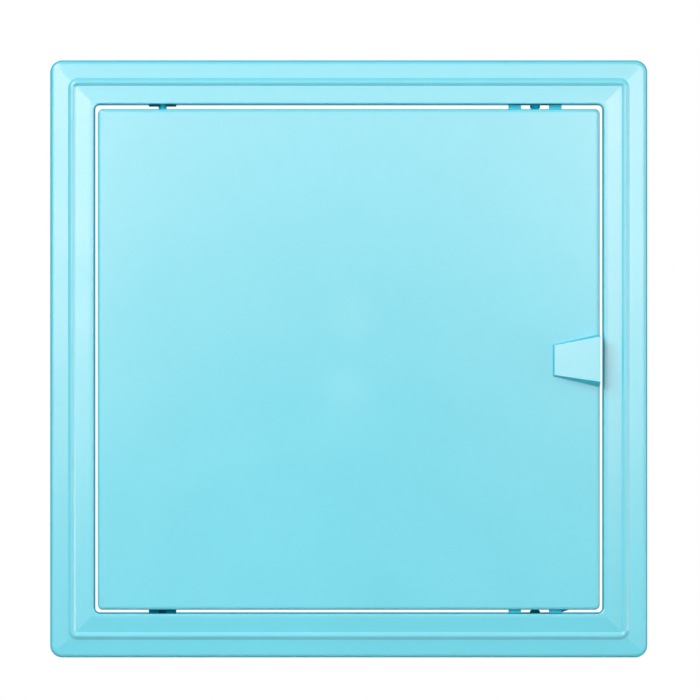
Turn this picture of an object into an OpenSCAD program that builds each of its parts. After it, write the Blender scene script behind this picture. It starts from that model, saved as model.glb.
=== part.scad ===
// Hinged access panel for a wall or ceiling: a stepped rim with a collar that goes
// into the cut-out, and a door that turns on two pins near its left edge.
// The row frame has +X to the right, +Z up and +Y into the wall. The wall face is y = 0.

/* [Collar] */
// Outer width of the collar that goes into the wall cut-out
collar_w = 146; // [120:1:400]
// Outer height of the collar
collar_h = 146; // [120:1:400]
// How far the collar reaches behind the wall face
collar_depth = 12; // [8:0.5:40]
// Thickness of the collar wall at its root
collar_wall = 1.2; // [1.1:0.1:2]
// Thickness of the collar wall at its rear end
collar_rear_wall = 1; // [0.6:0.1:1]
// Outer corner radius of the collar
collar_corner_r = 2.4; // [2.2:0.1:5]

/* [Rim] */
// How far the rim covers the wall around the collar
rim_overhang = 11; // [10:0.5:30]
// Corner radius of the rim
rim_corner_r = 3.4; // [2.5:0.1:5]
// Height of the rim's inner edge and of the door's face above the wall
rim_face_h = 3.5; // [3.2:0.1:6]
// How much the rim's bands rise towards the opening, per millimetre
band_rise = 0.07; // [0.02:0.01:0.1]
// Moulded wall thickness of the rim
rim_wall = 1.5; // [1.2:0.1:2]
// Rounding of the rim's outer edge
rim_edge_r = 1; // [0.6:0.1:1.4]
// Upright foot of the rim's outer side, at the wall
rim_foot_h = 0.3; // [0.1:0.1:0.5]
// How much that side leans in above its foot, per millimetre of height
rim_draft = 0.2; // [0.05:0.01:0.3]
// How far the rim's inner edge stands inside the collar wall
lip = 0.2; // [0.1:0.05:0.6]
// Rounding of the rim's inner edge
lip_edge_r = 0.4; // [0.3:0.1:1]
// Corner radius of the opening
opening_corner_r = 1.9; // [1:0.1:3]
// Thickness of the gussets behind the rim
gusset_t = 1; // [0.8:0.1:1.5]
// Spacing of the gussets behind the rim
gusset_pitch = 23; // [15:1:40]
// How far the gussets stay clear of the wall
gusset_relief = 0.3; // [0.1:0.1:0.6]

/* [Bead] */
// Distance from the rim's outer edge to the bead
bead_inset = 5.1; // [4:0.1:7]
// Width of the bead
bead_w = 2.2; // [1.8:0.1:2.4]
// Distance from the bead's outer foot to the peak where its flanks would meet
bead_peak_w = 1.1; // [0.9:0.05:1.2]
// Height of that peak above the outer band
bead_peak_h = 1.1; // [0.9:0.05:1.4]
// Radius that rounds the peak off
bead_round = 0.8; // [0.5:0.05:0.9]
// Height of the inner band above the outer band, at the bead
band_step = 0.3; // [0.1:0.1:0.8]
// Corner radius of the bead
bead_corner_r = 2.7; // [2.5:0.1:5]

/* [Door] */
// Gap between the door and the rim at its left and right edges
gap_side = 1.1; // [0.8:0.05:1.5]
// Gap above the door
gap_top = 1.4; // [1.1:0.05:2]
// Gap below the door, whose weight rests on the lower hinge bush
gap_bottom = 1.1; // [1.1:0.05:2]
// Thickness of the door's skin
door_skin = 2; // [1.5:0.1:3]
// Depth of the door from its face to the rear edge of its skirt
skirt_depth = 6; // [5.8:0.1:9]
// Thickness of the door's skirt
skirt_wall = 1.4; // [1.2:0.1:2]
// Corner radius of the door
door_corner_r = 1.4; // [1:0.1:3]
// Rounding of the door's front edge
door_edge_r = 1; // [0.3:0.1:1]
// Thickness of the ribs behind the door
rib_t = 1.2; // [0.8:0.1:2]
// Height of the ribs behind the door
rib_h = 2.4; // [1:0.1:3]
// Number of ribs each way
rib_count = 3; // [1:1:6]

/* [Hinge and latch] */
// Diameter of the hinge pins
pin_d = 2.25; // [2:0.05:2.6]
// Diameter of the latch studs
stud_d = 2.8; // [2.4:0.1:3]
// Distance from the door's left edge to the hinge pins
pin_inset = 18.1; // [14:0.1:30]
// Distance from the door's right edge to the latch studs
stud_inset = 18.1; // [14:0.1:30]
// Diameter of the heads of the pins and studs
pin_head_d = 3.6; // [3.2:0.1:4]
// Thickness of those heads
pin_head_t = 0.8; // [0.6:0.1:1.5]
// Lead-in at their tips
pin_lead = 0.3; // [0.1:0.05:0.4]
// Width of the door's bosses that carry the hinge pins
boss_w = 5.4; // [4.6:0.1:8]
// Length of those bosses behind the skirt
boss_l = 3; // [2:0.1:6]
// Outer diameter of the hinge bush's sleeve
bush_d = 4; // [3.6:0.1:4.4]
// Width of the hinge bush's plate
bush_w = 7.6; // [6:0.1:12]
// How far the upper bush's plate stands proud of the rim's inner edge
bush_stand_upper = 0.55; // [0.4:0.05:1]
// How far the lower bush's plate stands proud of the rim's inner edge
bush_stand_lower = 0.95; // [0.4:0.05:1]
// Width of the slot in the plate's front that shows the pin
bush_slot_w = 2; // [1.6:0.1:2.2]
// How far the bush's sleeve stands out of the collar
bush_out = 0.8; // [0.5:0.1:1.5]
// Width of the latch keeper
keeper_w = 14.9; // [12:0.1:20]
// How far the keeper stands proud of the rim's inner edge
keeper_stand = 0.1; // [0.05:0.05:0.3]
// Diameter of the pegs that hold the keeper
keeper_peg_d = 2; // [1.5:0.1:2.5]
// How far those pegs stand out of the collar
keeper_peg_out = 0.4; // [0.2:0.1:1]
// Gap between a latch stud's tip and the door's edge
stud_gap = 0.15; // [0.1:0.05:0.3]
// Diameter of the holes in the door's skirt that the studs snap into
detent_d = 3.3; // [3.2:0.1:4]
// Distance from the stud to each guide lug's centre
lug_offset = 5.7; // [5:0.1:8]
// Width of a guide lug
lug_w = 3.5; // [2:0.1:5]
// How far the lugs lie behind the door's face
lug_drop = 1.5; // [0.75:0.05:2]
// Thickness of the lugs
lug_t = 2; // [1:0.1:2]
// Length of the ramp beside the lower right lug, at the rear of the skirt
ramp_l = 2.4; // [1:0.1:4]

/* [Finger pull] */
// Length of the finger pull
pull_l = 13.2; // [10:0.1:20]
// How far it reaches past the door's edge
pull_over = 0; // [0:0.1:0.6]
// How far its middle lies below the door's
pull_drop = 0.3; // [0:0.1:10]
// Width of its low end
pull_low_w = 8.8; // [8:0.1:14]
// Width of its high end, at the door's edge
pull_high_w = 14.9; // [11:0.1:24]
// Height of its low end
pull_low_h = 1.4; // [1:0.1:3]
// Height of its high end
pull_high_h = 5; // [4:0.1:9]
// How much its upper side leans in, per millimetre of height
pull_lean_upper = 0.14; // [0.1:0.02:0.4]
// How much its lower side leans in, per millimetre of height
pull_lean_lower = 0.3; // [0.1:0.02:0.4]
// How much its low end leans in, per millimetre of height
pull_end_lean = 0.35; // [0:0.05:0.6]
// Thickness of its walls
pull_wall = 1.2; // [0.8:0.1:1.5]
// Length of its solid root
pull_root = 3.6; // [3.2:0.1:5]
// Diameter of the pegs that hold it
pull_peg_d = 2; // [1.5:0.1:2.2]
// Spacing of those pegs
pull_peg_pitch = 5.2; // [4.6:0.1:6]
// Diameter of the staked heads of the pegs
pull_head_d = 3.2; // [2.8:0.1:3.6]
// Thickness of those heads
pull_head_t = 0.8; // [0.5:0.1:1.2]

/* [Fits] */
// Radial clearance of the pins in their bushes
running_fit = 0.05; // [0.02:0.01:0.1]
// Radial clearance of pieces that are pressed in
press_fit = 0.02; // [0.01:0.01:0.04]
// Gap between the lugs or peg heads and what they pass
pass_gap = 0.1; // [0.05:0.01:0.12]

/* [Hidden] */
$fn = 64;
// Extra length of a cutting shape past the face it opens
past = 1;
// Depth that a joined shape reaches into its neighbour
bite = 0.3;

plastic = "paleturquoise";
insert_plastic = "darkturquoise";

rim_w = collar_w + 2 * rim_overhang;
rim_h = collar_h + 2 * rim_overhang;
collar_in_w = collar_w - 2 * collar_wall;
collar_in_h = collar_h - 2 * collar_wall;
opening_w = collar_in_w - 2 * lip;
opening_h = collar_in_h - 2 * lip;
lip_ring_w = lip + collar_wall / 2;
bead_rim_w = rim_w - 2 * bead_inset;
bead_rim_h = rim_h - 2 * bead_inset;
inner_band_w = rim_overhang + collar_wall + lip - bead_inset - bead_w - lip_ring_w;

// Heights above the wall face; the bands are measured at the bead
face_z = rim_face_h;
inner_band_z = face_z - inner_band_w * band_rise;
outer_band_z = inner_band_z - band_step;
lip_under_z = face_z - rim_wall;
skin_under_z = face_z - door_skin;
door_rear_z = face_z - skirt_depth;
pin_z = skin_under_z - pin_head_d / 2 - press_fit;
plate_rear_z = pin_z - bush_d / 2;

door_w = opening_w - 2 * gap_side;
door_h = opening_h - gap_top - gap_bottom;
door_mid_y = (gap_bottom - gap_top) / 2;
// Distances of the door's upper and lower edges from the middle of the opening
door_edges = [opening_h / 2 - gap_top, opening_h / 2 - gap_bottom];
pin_x = pin_inset - door_w / 2;
stud_x = door_w / 2 - stud_inset;
// The hinge pins reach this far out of the door, so that the lower one ends level with its bush
pin_reach = gap_bottom + lip + collar_wall + bush_out;
lug_tip_y = opening_h / 2 - keeper_stand - pass_gap;

pull_x = door_w / 2 + pull_over - pull_l;
pull_mid_y = door_mid_y - pull_drop;
pull_peg_x = pull_x + pull_root / 2;

// Shapes are drawn face up, with y up the panel and z towards the viewer, then stood against the wall
module stand() {
    rotate([90, 0, 0]) children();
}

// What is drawn at the upper edge, moved to the lower edge
module at_lower_edge() {
    mirror([0, 0, 1]) children();
}

module rounded_rect(w, h, r) {
    square([w - 2 * r, h], center = true);
    square([w, h - 2 * r], center = true);
    for (sx = [-1, 1], sy = [-1, 1])
        translate([sx * (w / 2 - r), sy * (h / 2 - r)]) circle(r);
}

module rounded_prism(w, h, r, low, high) {
    translate([0, 0, low]) linear_extrude(high - low) rounded_rect(w, h, r);
}

// Sweeps a profile round a rounded rectangle; the profile's x is measured outwards from the rectangle
module sweep_round(w, h, r) {
    for (turn = [0 : 3]) {
        across = turn % 2 == 0 ? w : h;
        along = turn % 2 == 0 ? h : w;
        rotate(90 * turn) translate([across / 2, along / 2 - r, 0]) rotate([90, 0, 0])
            linear_extrude(along - 2 * r) children();
    }
    for (sx = [-1, 1], sy = [-1, 1])
        translate([sx * (w / 2 - r), sy * (h / 2 - r), 0])
            rotate(sx > 0 ? (sy > 0 ? 0 : -90) : (sy > 0 ? 90 : 180))
                rotate_extrude(angle = 90) translate([r, 0]) children();
}

// The point that lies at height d1 along direction n1 and at height d2 along direction n2
function crossing(n1, d1, n2, d2) =
    [d1 * n2[1] - d2 * n1[1], n1[0] * d2 - n2[0] * d1] / (n1[0] * n2[1] - n1[1] * n2[0]);

// A profile down to height low, whose two sides rise from their feet to a round crest that touches both.
// Each side is given by its foot and the direction it faces.
module crested_profile(foot_1, facing_1, foot_2, facing_2, r, low) {
    n1 = facing_1 / norm(facing_1);
    n2 = facing_2 / norm(facing_2);
    centre = crossing(n1, n1 * foot_1 - r, n2, n2 * foot_2 - r);
    polygon([
        [foot_1[0], low], foot_1, centre + r * n1, centre, centre + r * n2, foot_2, [foot_2[0], low]
    ]);
    translate(centre) circle(r);
}

// A plate whose top slopes up from its four edges, by the rise of the bands, over the given width
module hip_plate(w, h, low, edge_z, slope_w) {
    intersection() {
        rotate([90, 0, 0]) linear_extrude(h, center = true) hip_profile(w, low, edge_z, slope_w);
        rotate([90, 0, 90]) linear_extrude(w, center = true) hip_profile(h, low, edge_z, slope_w);
    }
}

module hip_profile(w, low, edge_z, slope_w) {
    top_z = edge_z + slope_w * band_rise;
    polygon([
        [-w / 2, low], [w / 2, low], [w / 2, edge_z],
        [w / 2 - slope_w, top_z], [slope_w - w / 2, top_z], [-w / 2, edge_z]
    ]);
}

// A rectangle from x = 0 to x = -w with its outer top corner rounded
module soft_profile(w, low, high, edge_r) {
    difference() {
        translate([-w, low]) square([w, high - low]);
        translate([-edge_r, high - edge_r]) difference() {
            square(edge_r + past);
            circle(edge_r);
        }
    }
}

// A plate with round corners and a rounded front edge
module soft_plate(w, h, r, low, high, edge_r) {
    sweep_round(w, h, r) soft_profile(r, low, high, edge_r);
    translate([r - w / 2, r - h / 2, low]) cube([w - 2 * r, h - 2 * r, high - low]);
}

// The rim's outer side, its rounding and the start of the outer band
module rim_edge_profile() {
    band_z = outer_band_z - (bead_inset - rim_corner_r) * band_rise;
    crested_profile([0, rim_foot_h], [1, rim_draft], [-rim_corner_r, band_z], [band_rise, 1], rim_edge_r, 0);
}

// The bead's flanks rise from the two bands and end in a round crest
module bead_profile() {
    crested_profile([0, outer_band_z], [bead_peak_h, bead_peak_w],
                    [-bead_w, inner_band_z], [band_step - bead_peak_h, bead_w - bead_peak_w], bead_round, bite);
}

// Both bands, which slope up towards the opening
module rim_bands() {
    outer_slope_w = bead_inset - rim_corner_r + bead_w / 2;
    inner_slope_w = inner_band_w + bite;
    hip_plate(rim_w - 2 * rim_corner_r, rim_h - 2 * rim_corner_r, 0,
              outer_band_z - (bead_inset - rim_corner_r) * band_rise, outer_slope_w);
    hip_plate(opening_w + 2 * lip_ring_w + 2 * inner_slope_w, opening_h + 2 * lip_ring_w + 2 * inner_slope_w,
              bite, face_z - inner_slope_w * band_rise, inner_slope_w);
}

// The collar's wall thins towards the rear on its outer face
module collar_profile() {
    polygon([
        [0, lip_under_z + bite], [-collar_wall, lip_under_z + bite],
        [-collar_wall, -collar_depth], [collar_rear_wall - collar_wall, -collar_depth], [0, 0]
    ]);
}

// The hollow behind the rim follows the two bands at an even wall thickness
module rim_hollow() {
    difference() {
        union() {
            rounded_prism(rim_w - 2 * rim_wall, rim_h - 2 * rim_wall, rim_corner_r - rim_wall,
                          -past, outer_band_z - rim_wall);
            rounded_prism(bead_rim_w - 2 * rim_wall, bead_rim_h - 2 * rim_wall, bead_corner_r - rim_wall,
                          -past, lip_under_z);
        }
        rounded_prism(collar_w, collar_h, collar_corner_r, -2 * past, face_z);
    }
}

// Gussets bridge the hollow from the collar to the rim's outer wall
module gussets() {
    reach = rim_overhang - rim_wall + 2 * bite;
    for (turn = [0 : 3]) {
        across = turn % 2 == 0 ? collar_w : collar_h;
        along = turn % 2 == 0 ? collar_h : collar_w;
        steps = floor((along / 2 - collar_corner_r) / gusset_pitch);
        rotate(90 * turn)
            for (i = [-steps : steps])
                translate([across / 2 - bite, i * gusset_pitch - gusset_t / 2, gusset_relief])
                    cube([reach, gusset_t, lip_under_z + bite - gusset_relief]);
    }
}

module rim_shell() {
    difference() {
        union() {
            sweep_round(rim_w, rim_h, rim_corner_r) rim_edge_profile();
            sweep_round(bead_rim_w, bead_rim_h, bead_corner_r) bead_profile();
            rim_bands();
        }
        rim_hollow();
        rounded_prism(opening_w + 2 * lip_ring_w, opening_h + 2 * lip_ring_w, opening_corner_r + lip_ring_w,
                      -past, face_z + past);
    }
    sweep_round(opening_w, opening_h, opening_corner_r)
        mirror([1, 0]) soft_profile(lip_ring_w + bite, lip_under_z, face_z, lip_edge_r);
}

// A cylinder along the hinge axis, outwards from height y at the upper edge
module upright_rod(x, y, length, d) {
    translate([x, y, pin_z]) rotate([-90, 0, 0]) cylinder(h = length, d = d);
}

// A round seat through the upper collar wall
module collar_seat(x, d) {
    upright_rod(x, collar_in_h / 2 - past, collar_wall + bush_out + 2 * past, d + 2 * press_fit);
}

module frame_surround() {
    color(plastic) stand() difference() {
        union() {
            rim_shell();
            sweep_round(collar_w, collar_h, collar_corner_r) collar_profile();
            gussets();
        }
        for (side = [0, 1]) mirror([0, side, 0]) {
            collar_seat(pin_x, bush_d);
            collar_seat(stud_x, stud_d);
            upright_rod(stud_x, collar_h / 2, pin_head_t + past, pin_head_d + 2 * press_fit);
            for (s = [-1, 1]) collar_seat(stud_x + s * lug_offset, keeper_peg_d);
        }
    }
}

// A flanged bush pressed into the collar: its plate lies inside, its sleeve goes through the wall
module hinge_bush(plate_stand) {
    plate_y = opening_h / 2 - plate_stand;
    color(insert_plastic) stand() difference() {
        union() {
            translate([pin_x - bush_w / 2, plate_y, plate_rear_z])
                cube([bush_w, collar_in_h / 2 - plate_y, lip_under_z - plate_rear_z]);
            upright_rod(pin_x, plate_y, collar_h / 2 + bush_out - plate_y, bush_d);
        }
        upright_rod(pin_x, plate_y - past, collar_h / 2 + bush_out - plate_y + 2 * past,
                    pin_d + 2 * running_fit);
        translate([pin_x - bush_slot_w / 2, plate_y - past, pin_z])
            cube([bush_slot_w, collar_in_h / 2 - plate_y + past, lip_under_z - pin_z + past]);
    }
}

// A thin wear plate that the guide lugs slide on, held by two pegs in the collar
module latch_keeper() {
    plate_y = opening_h / 2 - keeper_stand;
    color(insert_plastic) stand() difference() {
        union() {
            translate([stud_x - keeper_w / 2, plate_y, plate_rear_z])
                cube([keeper_w, collar_in_h / 2 - plate_y, lip_under_z - plate_rear_z]);
            for (s = [-1, 1])
                upright_rod(stud_x + s * lug_offset, plate_y, collar_h / 2 + keeper_peg_out - plate_y,
                            keeper_peg_d);
        }
        upright_rod(stud_x, plate_y - past, collar_wall + 2 * past, stud_d + 2 * press_fit);
    }
}

// A push-in stud with its head outside the collar and its tip at the detent in the door's edge
module latch_stud(edge) {
    tip_y = edge + stud_gap;
    color(insert_plastic) stand() {
        upright_rod(stud_x, collar_h / 2, pin_head_t, pin_head_d);
        upright_rod(stud_x, tip_y + pin_lead, collar_h / 2 - tip_y - pin_lead, stud_d);
        translate([stud_x, tip_y, pin_z]) rotate([-90, 0, 0])
            cylinder(h = pin_lead, d1 = stud_d - 2 * pin_lead, d2 = stud_d);
    }
}

// The ribs run from wall to wall of the skirt, in a grid
module door_ribs() {
    for (i = [1 : rib_count]) {
        x = door_w * (i / (rib_count + 1) - 0.5);
        y = door_h * (i / (rib_count + 1) - 0.5) + door_mid_y;
        translate([x - rib_t / 2, skirt_wall - bite - door_edges[1], skin_under_z - rib_h])
            cube([rib_t, door_h - 2 * skirt_wall + 2 * bite, rib_h + bite]);
        translate([skirt_wall - bite - door_w / 2, y - rib_t / 2, skin_under_z - rib_h])
            cube([door_w - 2 * skirt_wall + 2 * bite, rib_t, rib_h + bite]);
    }
}

// The bosses that carry the hinge pins stand on the skin, against the skirt
module hinge_bosses() {
    for (side = [0, 1]) mirror([0, side, 0])
        translate([pin_x - boss_w / 2, door_edges[side] - skirt_wall - boss_l, door_rear_z])
            cube([boss_w, boss_l + bite, skirt_depth - door_skin + bite]);
}

// Lugs on either side of the latch studs centre the door's free edge in the opening
module guide_lugs() {
    for (s = [-1, 1], side = [0, 1]) mirror([0, side, 0])
        translate([stud_x + s * lug_offset - lug_w / 2, door_edges[side] - bite, face_z - lug_drop - lug_t])
            cube([lug_w, lug_tip_y - door_edges[side] + bite, lug_t]);
}

// A ramp beside the lower right lug, at the rear of the skirt
module lug_ramp() {
    start_x = stud_x + lug_offset + lug_w / 2;
    translate([0, 0, door_rear_z]) linear_extrude(lug_t)
        polygon([
            [start_x, bite - door_edges[1]], [start_x, -lug_tip_y], [start_x + ramp_l, -door_edges[1]],
            [start_x + ramp_l, bite - door_edges[1]]
        ]);
}

module door_leaf() {
    cavity_w = door_w - 2 * skirt_wall;
    cavity_h = door_h - 2 * skirt_wall;
    color(plastic) stand() difference() {
        union() {
            translate([0, door_mid_y, 0]) difference() {
                soft_plate(door_w, door_h, door_corner_r, door_rear_z, face_z, door_edge_r);
                translate([-cavity_w / 2, -cavity_h / 2, door_rear_z - past])
                    cube([cavity_w, cavity_h, skirt_depth - door_skin + past]);
            }
            door_ribs();
            hinge_bosses();
            guide_lugs();
            lug_ramp();
        }
        for (side = [0, 1]) mirror([0, side, 0]) {
            upright_rod(pin_x, door_edges[side] - skirt_wall - boss_l - past, skirt_wall + boss_l + 2 * past,
                        pin_d + 2 * press_fit);
            upright_rod(stud_x, door_edges[side] - skirt_wall - past, skirt_wall + 2 * past, detent_d);
        }
        pull_pegs() {
            translate([0, 0, skin_under_z - past])
                cylinder(h = door_skin + 2 * past, d = pull_peg_d + 2 * press_fit);
            translate([0, 0, door_rear_z - past])
                cylinder(h = skirt_depth - door_skin + past, d = pull_head_d + 2 * pass_gap);
        }
    }
}

// A push-in pin with its head against the inner end of its boss; edge is its side's place in door_edges
module hinge_pin(edge) {
    boss_end_y = edge - skirt_wall - boss_l;
    tip_y = edge + pin_reach;
    color(insert_plastic) stand() {
        upright_rod(pin_x, boss_end_y - pin_head_t, pin_head_t, pin_head_d);
        upright_rod(pin_x, boss_end_y, tip_y - boss_end_y - pin_lead, pin_d);
        translate([pin_x, tip_y - pin_lead, pin_z]) rotate([-90, 0, 0])
            cylinder(h = pin_lead, d1 = pin_d, d2 = pin_d - 2 * pin_lead);
    }
}

// Places its children at the two pegs of the finger pull
module pull_pegs() {
    for (s = [-1, 1]) translate([pull_peg_x, pull_mid_y + s * pull_peg_pitch / 2, 0]) children();
}

function pull_height(x) = pull_low_h + (pull_high_h - pull_low_h) * x / pull_l;
function pull_half_w(x) = (pull_low_w + (pull_high_w - pull_low_w) * x / pull_l) / 2;

function pull_lean(side) = side > 0 ? pull_lean_upper : pull_lean_lower;

// A corner of the finger pull's section at distance x from its low end and height z, moved in by inset
function pull_corner(x, side, z, inset) = [
    pull_x + x, pull_mid_y + side * (pull_half_w(x) - inset - pull_lean(side) * z), face_z + z
];

// Corners of that section, in order round it; lean moves the upper two along the pull
function pull_section(x, inset, low, lean) = [
    pull_corner(x, -1, low, inset),
    pull_corner(x, 1, low, inset),
    pull_corner(x + lean, 1, pull_height(x + lean) - inset, inset),
    pull_corner(x + lean, -1, pull_height(x + lean) - inset, inset)
];

// The solid between two sections of the finger pull
module pull_wedge(from_x, to_x, inset, low, lean) {
    polyhedron(
        concat(pull_section(from_x, inset, low, lean), pull_section(to_x, inset, low, 0)),
        [[0, 1, 2, 3], [7, 6, 5, 4], [0, 4, 5, 1], [1, 5, 6, 2], [2, 6, 7, 3], [3, 7, 4, 0]]
    );
}

// A hollow wedge, open towards the door's edge so that a fingertip goes in, staked to the door by two pegs
module finger_pull() {
    color(plastic) stand() {
        difference() {
            pull_wedge(0, pull_l, 0, 0, pull_low_h * pull_end_lean);
            pull_wedge(pull_root, pull_l + past, pull_wall, -past, 0);
        }
        pull_pegs() translate([0, 0, skin_under_z - pull_head_t]) {
            cylinder(h = pull_head_t, d = pull_head_d);
            cylinder(h = pull_head_t + door_skin + bite, d = pull_peg_d);
        }
    }
}

frame_surround();
hinge_bush(bush_stand_upper);  // hinge_bush_upper
at_lower_edge() hinge_bush(bush_stand_lower);  // hinge_bush_lower
latch_keeper();  // latch_keeper_upper
at_lower_edge() latch_keeper();  // latch_keeper_lower
door_leaf();
finger_pull();
hinge_pin(door_edges[0]);  // hinge_pin_upper
at_lower_edge() hinge_pin(door_edges[1]);  // hinge_pin_lower
latch_stud(door_edges[0]);  // latch_stud_upper
at_lower_edge() latch_stud(door_edges[1]);  // latch_stud_lower
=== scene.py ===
"""Square plastic access panel, seen straight from the front on white.

The solids are shown as they are, with softened edges and procedural plastics. Metres, X right,
Z up, and the front faces -Y.
"""

import math

import bpy
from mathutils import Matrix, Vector

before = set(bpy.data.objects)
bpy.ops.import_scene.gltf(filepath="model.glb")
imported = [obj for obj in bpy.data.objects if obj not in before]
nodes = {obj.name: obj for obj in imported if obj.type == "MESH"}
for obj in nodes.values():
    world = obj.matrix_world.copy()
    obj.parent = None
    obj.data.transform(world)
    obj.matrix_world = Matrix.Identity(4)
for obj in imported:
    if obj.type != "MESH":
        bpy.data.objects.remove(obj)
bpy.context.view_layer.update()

# The door's flat face, and the depths between which a part turns from front to recessed
FACE_Y = -0.0035
RECESS_START = FACE_Y + 0.0010
RECESS_END = FACE_Y + 0.0014

# How much of a surface's normal lies along Y, at most on a side and at least on a front or back
SIDE_TURN = 0.35
FACE_TURN = 0.75

# Colours of the plastics and of the marks on the door
AQUA = (0.12, 0.63, 0.755, 1.0)
# The dark teal of the inserts is partly painted shade; the lower stud and pin take it in place of
# the blues of the upper ones
TEAL_AND_PAINTED_SHADE = (0.002, 0.15, 0.20, 1.0)
BLUE = (0.02, 0.58, 0.82, 1.0)
PALE_BLUE = (0.12, 0.72, 0.90, 1.0)
PALE_MARK = (0.40, 0.80, 0.86, 1.0)
BLUE_MARK = (0.10, 0.60, 0.82, 1.0)

# Painted shade on sides and recessed parts, as the share of red, green and blue they keep, and the
# colour of the shine
PAINTED_SHADE_SHARE = (0.27, 0.86, 0.9)
SHINE_TINT = (1.0, 0.62, 0.50, 1.0)

# Texture of the plastics: lumps per metre, offsets that keep patterns apart, and what they change
FLOW_SCALE = 16.0
FLOW_STRETCH = (1.0, 1.0, 0.45)
FLOW_TONES = (0.975, 1.025)
SPECK_SCALE = 420.0
SPECK_OFFSET = (3.0, 1.0, 2.0)
SPECK_TONE = 0.8
SPECK_STRENGTH = 0.06
GLOSS_SCALE = 45.0
GLOSS_OFFSET = (7.0, 2.0, 5.0)
GLOSS_SPREAD = 0.02
CLOUD_DETAIL = 3.0
GRAIN_SCALE = 1500.0
GRAIN_STRENGTH = 0.10
GRAIN_DEPTH = 0.00006

# Roughness of the polished front, the small fittings and the unpolished sides and back
SATIN = 0.20
FITTING_SATIN = 0.45
INSERT_SATIN = 0.55
DULL = (0.90, 1.0)

# Grain and shine of the small fittings, against 1 on the large mouldings
FITTING_GRAIN = 0.6
FITTING_SHINE = 0.1
INSERT_SHINE = 0.06

# Noise lies mostly between these values
NOISE_RANGE = (0.3, 0.7)
SPECK_RANGE = (0.35, 0.65)

# Places of a Mix node's two inputs and its result, for numbers and for colours
MIX_SOCKETS = {"FLOAT": (2, 3, 0), "RGBA": (6, 7, 2)}

# Radii of the softened edges, and the least angle of an edge that is softened, in degrees
PULL_EDGE = 0.0005
FITTING_EDGE = 0.00012
EDGE_STEPS = 3
EDGE_ANGLE = 35.0

# A normal that agrees less with its face is replaced, and a smaller face is left out
LEAST_AGREEMENT = 0.9
LEAST_AREA = 1e-10

# Floor
FLOOR_HALF = 0.8
FLOOR_Z = -0.80
FLOOR_COLOUR = (0.84, 0.84, 0.84, 1.0)
FLOOR_ROUGHNESS = 0.8

# Light of the surroundings from front and back, the share from below, and half the change's width
WORLD_FRONT = 0.08
WORLD_BACK = 0.25
WORLD_BELOW = 0.4
WORLD_CHANGE = 0.4
WHITE = (1.0, 1.0, 1.0, 1.0)

# Distance of the lamps from the panel's middle
LAMP_DISTANCE = 1.6

# View: its width at the face, the camera's distance, its centre in X and Z, and the sensor in mm
VIEW_WIDTH = 0.1966
VIEW_DISTANCE = 1.75
VIEW_CENTRE = (0.00035, 0.0025)
VIEW_END = 20.0
SENSOR_WIDTH = 36.0


# Plastics


class Tree:
    """Short calls for the nodes of one material."""

    def __init__(self, name):
        self.material = bpy.data.materials.new(name)
        self.material.use_nodes = True
        self.nodes = self.material.node_tree.nodes
        self.links = self.material.node_tree.links
        self.shader = self.nodes["Principled BSDF"]
        coordinates = self.nodes.new("ShaderNodeTexCoord")
        self.place = coordinates.outputs["Object"]
        self.normal = coordinates.outputs["Normal"]

    def put(self, socket, value):
        """Links the value to the socket, or sets the socket to it."""
        if isinstance(value, bpy.types.NodeSocket):
            self.links.new(value, socket)
        else:
            socket.default_value = value

    def noise(self, scale, detail=2.0, stretch=(1.0, 1.0, 1.0), offset=(0.0, 0.0, 0.0)):
        """Noise over the object, about 1/scale metres from one lump to the next."""
        mapping = self.nodes.new("ShaderNodeMapping")
        mapping.inputs["Scale"].default_value = stretch
        mapping.inputs["Location"].default_value = offset
        self.put(mapping.inputs["Vector"], self.place)
        node = self.nodes.new("ShaderNodeTexNoise")
        node.inputs["Scale"].default_value = scale
        node.inputs["Detail"].default_value = detail
        self.put(node.inputs["Vector"], mapping.outputs["Vector"])
        return node.outputs["Fac"]

    def ramp(self, value, low, high, out_low, out_high, smooth=False):
        """The value's range from low to high, taken to the range from out_low to out_high."""
        node = self.nodes.new("ShaderNodeMapRange")
        if smooth:
            node.interpolation_type = "SMOOTHSTEP"
        self.put(node.inputs["Value"], value)
        node.inputs["From Min"].default_value = low
        node.inputs["From Max"].default_value = high
        node.inputs["To Min"].default_value = out_low
        node.inputs["To Max"].default_value = out_high
        return node.outputs["Result"]

    def spot(self, centre, radius, strength):
        """Strength at a point of the face, fading to nothing at the radius."""
        node = self.nodes.new("ShaderNodeVectorMath")
        node.operation = "DISTANCE"
        self.put(node.inputs[0], self.place)
        node.inputs[1].default_value = centre
        return self.ramp(node.outputs["Value"], 0.0, radius, strength, 0.0, smooth=True)

    def along_y(self, vector):
        """The part of a vector that lies along Y."""
        node = self.nodes.new("ShaderNodeSeparateXYZ")
        self.put(node.inputs[0], vector)
        return node.outputs["Y"]

    def front(self):
        """1 on what faces the front near the panel's face, 0 on sides, backs and recessed parts."""
        turn = self.along_y(self.normal)
        depth = self.along_y(self.place)
        faces = self.ramp(turn, -FACE_TURN, -SIDE_TURN, 1.0, 0.0, smooth=True)
        near = self.ramp(depth, RECESS_START, RECESS_END, 1.0, 0.0, smooth=True)
        node = self.nodes.new("ShaderNodeMath")
        node.operation = "MULTIPLY"
        self.put(node.inputs[0], faces)
        self.put(node.inputs[1], near)
        return node.outputs[0]

    def back(self):
        """1 on what faces the back, 0 elsewhere."""
        turn = self.along_y(self.normal)
        return self.ramp(turn, SIDE_TURN, FACE_TURN, 0.0, 1.0, smooth=True)

    def mix(self, factor, first, second, kind="RGBA"):
        """A colour or a number between two, the second where the factor is 1."""
        first_place, second_place, result_place = MIX_SOCKETS[kind]
        node = self.nodes.new("ShaderNodeMix")
        node.data_type = kind
        self.put(node.inputs[0], factor)
        self.put(node.inputs[first_place], first)
        self.put(node.inputs[second_place], second)
        return node.outputs[result_place]


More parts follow.
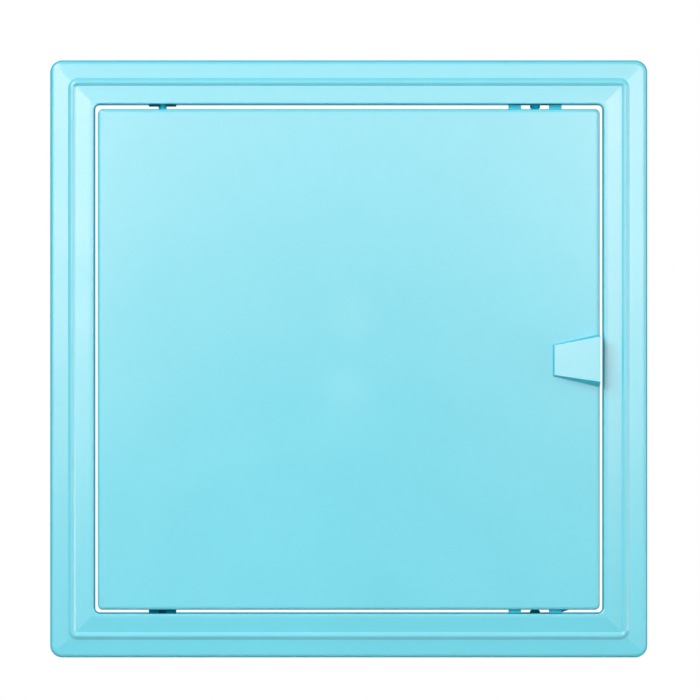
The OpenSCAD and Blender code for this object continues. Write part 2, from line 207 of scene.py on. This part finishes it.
def shade(colour, *factors):
    """The colour times one factor, or times one for each channel."""
    if len(factors) == 1:
        factors *= 3
    return tuple(min(1.0, c * f) for c, f in zip(colour, factors)) + (1.0,)


def moulded_plastic(name, colour, roughness, grain=1.0, spots=(), specular=1.0):
    """Satin injection-moulded plastic: melt-flow tone, fine moulded texture, gloss that varies.

    The front is satin. Sides, back and recessed parts have the duller finish of an unpolished
    mould. Sides and recessed parts get a deeper colour, which is painted shade.
    """
    t = Tree(name)
    front = t.front()

    streaks = t.noise(FLOW_SCALE, CLOUD_DETAIL, stretch=FLOW_STRETCH)
    flow = t.ramp(streaks, *NOISE_RANGE, 0.0, 1.0)
    tone = t.mix(flow, *(shade(colour, factor) for factor in FLOW_TONES))
    specks = t.noise(SPECK_SCALE, offset=SPECK_OFFSET)
    speck = t.ramp(specks, *SPECK_RANGE, 0.0, SPECK_STRENGTH)
    tone = t.mix(speck, tone, shade(colour, SPECK_TONE))
    for centre, radius, strength, spot_colour in spots:
        tone = t.mix(t.spot(centre, radius, strength), tone, spot_colour)
    # Sides and recessed parts take a darker copy of the colour, which is painted shade; backs keep
    # the plain tone
    painted_shade = t.mix(t.back(), shade(colour, *PAINTED_SHADE_SHARE), tone)
    t.put(t.shader.inputs["Base Color"], t.mix(front, painted_shade, tone))

    cloud = t.noise(GLOSS_SCALE, CLOUD_DETAIL, offset=GLOSS_OFFSET)
    satin = t.ramp(cloud, *NOISE_RANGE, roughness - GLOSS_SPREAD, roughness + GLOSS_SPREAD)
    dull = t.ramp(cloud, *NOISE_RANGE, *DULL)
    t.put(t.shader.inputs["Roughness"], t.mix(front, dull, satin, kind="FLOAT"))

    bump = t.nodes.new("ShaderNodeBump")
    bump.inputs["Strength"].default_value = GRAIN_STRENGTH * grain
    bump.inputs["Distance"].default_value = GRAIN_DEPTH
    t.put(bump.inputs["Height"], t.noise(GRAIN_SCALE))
    t.put(t.shader.inputs["Normal"], bump.outputs["Normal"])
    t.shader.inputs["Specular IOR Level"].default_value = specular
    t.shader.inputs["Specular Tint"].default_value = SHINE_TINT
    return t.material


# Paler and bluer spots on the door: centre, radius, strength and colour
door_spots = (
    ((0.0004, FACE_Y, 0.0118), 0.011, 0.10, PALE_MARK),
    ((-0.0010, FACE_Y, -0.0088), 0.009, 0.08, PALE_MARK),
    ((0.0453, FACE_Y, 0.0011), 0.020, 0.06, BLUE_MARK),
)

frame_plastic = moulded_plastic("frame_plastic", AQUA, SATIN)
door_plastic = moulded_plastic("door_plastic", AQUA, SATIN, spots=door_spots)
insert_plastic = moulded_plastic(
    "insert_plastic", TEAL_AND_PAINTED_SHADE, INSERT_SATIN, grain=FITTING_GRAIN, specular=INSERT_SHINE
)
stud_plastic_lit_copy = moulded_plastic(
    "stud_plastic_lit_copy", BLUE, FITTING_SATIN, grain=FITTING_GRAIN, specular=FITTING_SHINE
)
pin_plastic_lit_copy = moulded_plastic(
    "pin_plastic_lit_copy", PALE_BLUE, FITTING_SATIN, grain=FITTING_GRAIN, specular=FITTING_SHINE
)

# The upper stud and pin have lighter blues and the lower stud and pin the dark insert plastic:
# painted light above and painted shade below
finish = {
    "frame_surround": frame_plastic,
    "door_leaf": door_plastic,
    "finger_pull": door_plastic,
    "hinge_bush_upper": insert_plastic,
    "hinge_bush_lower": insert_plastic,
    "latch_keeper_upper": insert_plastic,
    "latch_keeper_lower": insert_plastic,
    "latch_stud_upper": stud_plastic_lit_copy,
    "latch_stud_lower": insert_plastic,
    "hinge_pin_upper": pin_plastic_lit_copy,
    "hinge_pin_lower": insert_plastic,
}


def dress(node, material):
    """Puts the material in every slot of the node."""
    if not node.material_slots:
        node.data.materials.append(material)
    for slot in node.material_slots:
        slot.link = "OBJECT"
        slot.material = material


for name, material in finish.items():
    dress(nodes[name], material)


# Clean normals on the rim


def true_normals():
    """Nodes that give a mesh clean normals.

    Smooth normals stay, except where one strays far from its own face. Faces without an area, as
    at the tip of a cone, are left out.
    """
    tree = bpy.data.node_groups.new("true_normals", "GeometryNodeTree")
    for way in ("INPUT", "OUTPUT"):
        tree.interface.new_socket("Geometry", in_out=way, socket_type="NodeSocketGeometry")
    start = tree.nodes.new("NodeGroupInput")
    end = tree.nodes.new("NodeGroupOutput")
    normal = tree.nodes.new("GeometryNodeInputNormal")
    agree = tree.nodes.new("ShaderNodeVectorMath")
    agree.operation = "DOT_PRODUCT"
    stray = tree.nodes.new("FunctionNodeCompare")
    stray.operation = "LESS_THAN"
    stray.inputs[1].default_value = LEAST_AGREEMENT
    choice = tree.nodes.new("GeometryNodeSwitch")
    choice.input_type = "VECTOR"
    change = tree.nodes.new("GeometryNodeSetMeshNormal")
    change.mode = "FREE"
    change.domain = "CORNER"
    area = tree.nodes.new("GeometryNodeInputMeshFaceArea")
    empty = tree.nodes.new("FunctionNodeCompare")
    empty.operation = "LESS_THAN"
    empty.inputs[1].default_value = LEAST_AREA
    leave_out = tree.nodes.new("GeometryNodeDeleteGeometry")
    leave_out.domain = "FACE"
    for value, socket in (
        (normal.outputs["Normal"], agree.inputs[0]),
        (normal.outputs["True Normal"], agree.inputs[1]),
        (agree.outputs["Value"], stray.inputs[0]),
        (stray.outputs[0], choice.inputs[0]),
        (normal.outputs["Normal"], choice.inputs[1]),
        (normal.outputs["True Normal"], choice.inputs[2]),
        (start.outputs[0], change.inputs["Mesh"]),
        (choice.outputs[0], change.inputs["Custom Normal"]),
        (area.outputs[0], empty.inputs[0]),
        (change.outputs[0], leave_out.inputs["Geometry"]),
        (empty.outputs[0], leave_out.inputs["Selection"]),
        (leave_out.outputs[0], end.inputs[0]),
    ):
        tree.links.new(value, socket)
    return tree


nodes["frame_surround"].modifiers.new("true_normals", "NODES").node_group = true_normals()


# Softened edges of the small parts, as a mould leaves them

edge_radii = {name: FITTING_EDGE for name in finish if name.startswith(("hinge_", "latch_"))}
edge_radii["finger_pull"] = PULL_EDGE

for name, radius in edge_radii.items():
    bevel = nodes[name].modifiers.new("edge_round", "BEVEL")
    bevel.width = radius
    bevel.segments = EDGE_STEPS
    bevel.limit_method = "ANGLE"
    bevel.angle_limit = math.radians(EDGE_ANGLE)
    bevel.harden_normals = True


# Floor, light and white surroundings


def pale_floor():
    """A plain pale floor below the panel, out of the straight front view."""
    mesh = bpy.data.meshes.new("floor")
    corners = ((-1.0, -1.0), (1.0, -1.0), (1.0, 1.0), (-1.0, 1.0))
    points = [(FLOOR_HALF * x, FLOOR_HALF * y, FLOOR_Z) for x, y in corners]
    mesh.from_pydata(points, [], [(0, 1, 2, 3)])
    floor = bpy.data.objects.new("floor", mesh)
    bpy.context.scene.collection.objects.link(floor)
    material = bpy.data.materials.new("floor_pale")
    material.use_nodes = True
    shader = material.node_tree.nodes["Principled BSDF"]
    shader.inputs["Base Color"].default_value = FLOOR_COLOUR
    shader.inputs["Roughness"].default_value = FLOOR_ROUGHNESS
    mesh.materials.append(material)


def white_world():
    """Surroundings that are white where they are seen or mirrored.

    For the rest they give a plain grey light, stronger from the white background at the back than
    from the front, and weaker from below.
    """
    world = bpy.data.worlds.new("studio")
    world.use_nodes = True
    tree = world.node_tree
    tree.nodes.clear()
    path = tree.nodes.new("ShaderNodeLightPath")
    seen = path.outputs["Is Camera Ray"]
    for ray in ("Is Glossy Ray", "Is Transmission Ray"):
        either = tree.nodes.new("ShaderNodeMath")
        either.operation = "MAXIMUM"
        tree.links.new(seen, either.inputs[0])
        tree.links.new(path.outputs[ray], either.inputs[1])
        seen = either.outputs[0]
    direction = tree.nodes.new("ShaderNodeTexCoord")
    parts = tree.nodes.new("ShaderNodeSeparateXYZ")
    level = tree.nodes.new("ShaderNodeMath")
    level.operation = "MULTIPLY"
    tree.links.new(direction.outputs["Generated"], parts.inputs[0])
    for axis, low, high, socket in (
        ("Y", WORLD_FRONT, WORLD_BACK, level.inputs[0]),
        ("Z", WORLD_BELOW, 1.0, level.inputs[1]),
    ):
        part = tree.nodes.new("ShaderNodeMapRange")
        part.inputs["From Min"].default_value = -WORLD_CHANGE
        part.inputs["From Max"].default_value = WORLD_CHANGE
        part.inputs["To Min"].default_value = low
        part.inputs["To Max"].default_value = high
        tree.links.new(parts.outputs[axis], part.inputs["Value"])
        tree.links.new(part.outputs["Result"], socket)
    grey = tree.nodes.new("ShaderNodeBackground")
    grey.inputs["Color"].default_value = WHITE
    tree.links.new(level.outputs[0], grey.inputs["Strength"])
    white = tree.nodes.new("ShaderNodeBackground")
    white.inputs["Color"].default_value = WHITE
    white.inputs["Strength"].default_value = 1.0
    choice = tree.nodes.new("ShaderNodeMixShader")
    out = tree.nodes.new("ShaderNodeOutputWorld")
    tree.links.new(seen, choice.inputs[0])
    tree.links.new(grey.outputs[0], choice.inputs[1])
    tree.links.new(white.outputs[0], choice.inputs[2])
    tree.links.new(choice.outputs[0], out.inputs["Surface"])
    bpy.context.scene.world = world


def around(azimuth, elevation):
    """A lamp's place at these angles to the right of straight ahead and above it, in degrees."""
    a = math.radians(azimuth)
    e = math.radians(elevation)
    return (
        LAMP_DISTANCE * math.sin(a) * math.cos(e),
        -LAMP_DISTANCE * math.cos(a) * math.cos(e),
        LAMP_DISTANCE * math.sin(e),
    )


def span(angle):
    """The length of a lamp that spans this angle, in degrees."""
    return 2.0 * LAMP_DISTANCE * math.tan(math.radians(angle / 2.0))


def soft_box(name, azimuth, elevation, width, height, radiance, mirrored=True):
    """A rectangular lamp that faces the panel, placed and sized by angles in degrees.

    Radiance 1 is as bright as white.
    """
    data = bpy.data.lights.new(name, "AREA")
    data.shape = "RECTANGLE"
    data.size = span(width)
    data.size_y = span(height)
    data.energy = radiance * math.pi * span(width) * span(height)
    lamp = bpy.data.objects.new(name, data)
    place = around(azimuth, elevation)
    lamp.location = place
    lamp.rotation_euler = (-Vector(place)).to_track_quat("-Z", "Y").to_euler()
    lamp.visible_camera = False
    lamp.visible_glossy = mirrored
    bpy.context.scene.collection.objects.link(lamp)


pale_floor()
white_world()

# Each lamp: degrees to the right and up, degrees wide and high, radiance
soft_box("front_low", 0.0, 4.3, 24.0, 4.6, 2.6)
soft_box("front_top", 0.0, 12.6, 24.0, 12.0, 2.4)
soft_box("left_strip", -11.0, 5.2, 7.5, 13.0, 7.7)
soft_box("right_strip", 11.0, 5.2, 7.5, 13.0, 7.8)
soft_box("pull_box", -29.0, 3.0, 9.0, 9.0, 8.0)
soft_box("left_key", -32.0, 28.0, 28.0, 26.0, 10.0)
soft_box("high_key", -10.0, 64.0, 60.0, 26.0, 1.0)
soft_box("right_wall", 76.0, 6.0, 30.0, 36.0, 3.9)
soft_box("back_fill", 180.0, 12.0, 60.0, 50.0, 3.0, mirrored=False)


# Camera straight in front, level

camera_data = bpy.data.cameras.new("camera")
camera_data.sensor_width = SENSOR_WIDTH
camera_data.lens = SENSOR_WIDTH * VIEW_DISTANCE / VIEW_WIDTH
camera_data.clip_end = VIEW_END
camera = bpy.data.objects.new("camera", camera_data)
camera.location = (VIEW_CENTRE[0], FACE_Y - VIEW_DISTANCE, VIEW_CENTRE[1])
camera.rotation_euler = (math.radians(90.0), 0.0, 0.0)
bpy.context.scene.collection.objects.link(camera)
bpy.context.scene.camera = camera

bpy.context.scene.view_settings.view_transform = "Standard"
